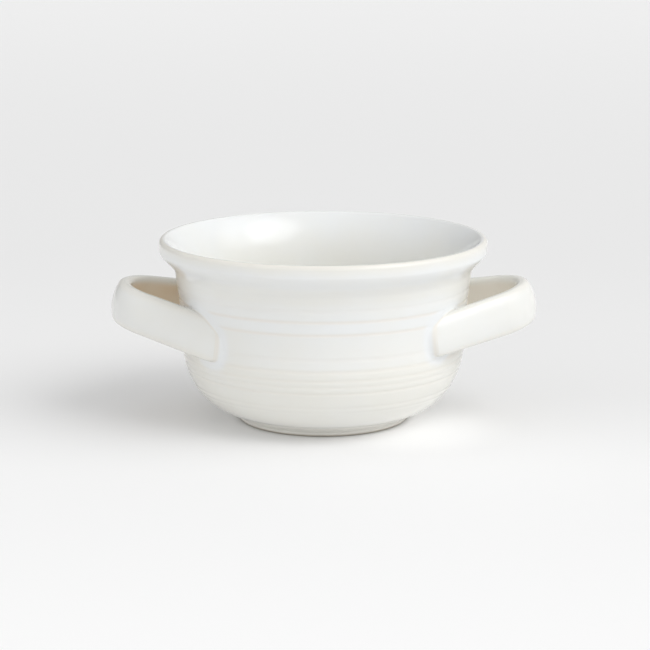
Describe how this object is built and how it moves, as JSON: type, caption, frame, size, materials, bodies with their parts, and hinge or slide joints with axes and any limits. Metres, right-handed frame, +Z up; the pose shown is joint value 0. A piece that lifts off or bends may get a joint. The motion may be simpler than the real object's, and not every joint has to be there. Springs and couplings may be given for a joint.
{
  "type": "soup crock",
  "caption": "Round footed stoneware soup crock with a flared lip, turned grooves round its wall and a tilted strap loop handle at each side; holds a single hot serving.",
  "frame": {"origin": "centre of the foot's bearing face, on the table", "axes": "+Z up along the bowl's axis of revolution, +X across the handles towards the right one, -Y towards the front of the picture"},
  "size_m": [0.1748, 0.134, 0.0752],
  "materials": {
    "white_glaze": "gloss warm white glaze, bluish where it pools and warm where it breaks over edges",
    "bare_clay": "wiped foot of pale buff stoneware, matt on its bearing face"
  },
  "bodies": {
    "root": {"bowl_body": "white_glaze", "foot_ring": "bare_clay", "foot_slip_joint": "bare_clay", "left_handle": "white_glaze", "right_handle": "white_glaze", "left_front_slip_joint": "white_glaze", "left_rear_slip_joint": "white_glaze", "right_front_slip_joint": "white_glaze", "right_rear_slip_joint": "white_glaze"}
  },
  "joints": []
}
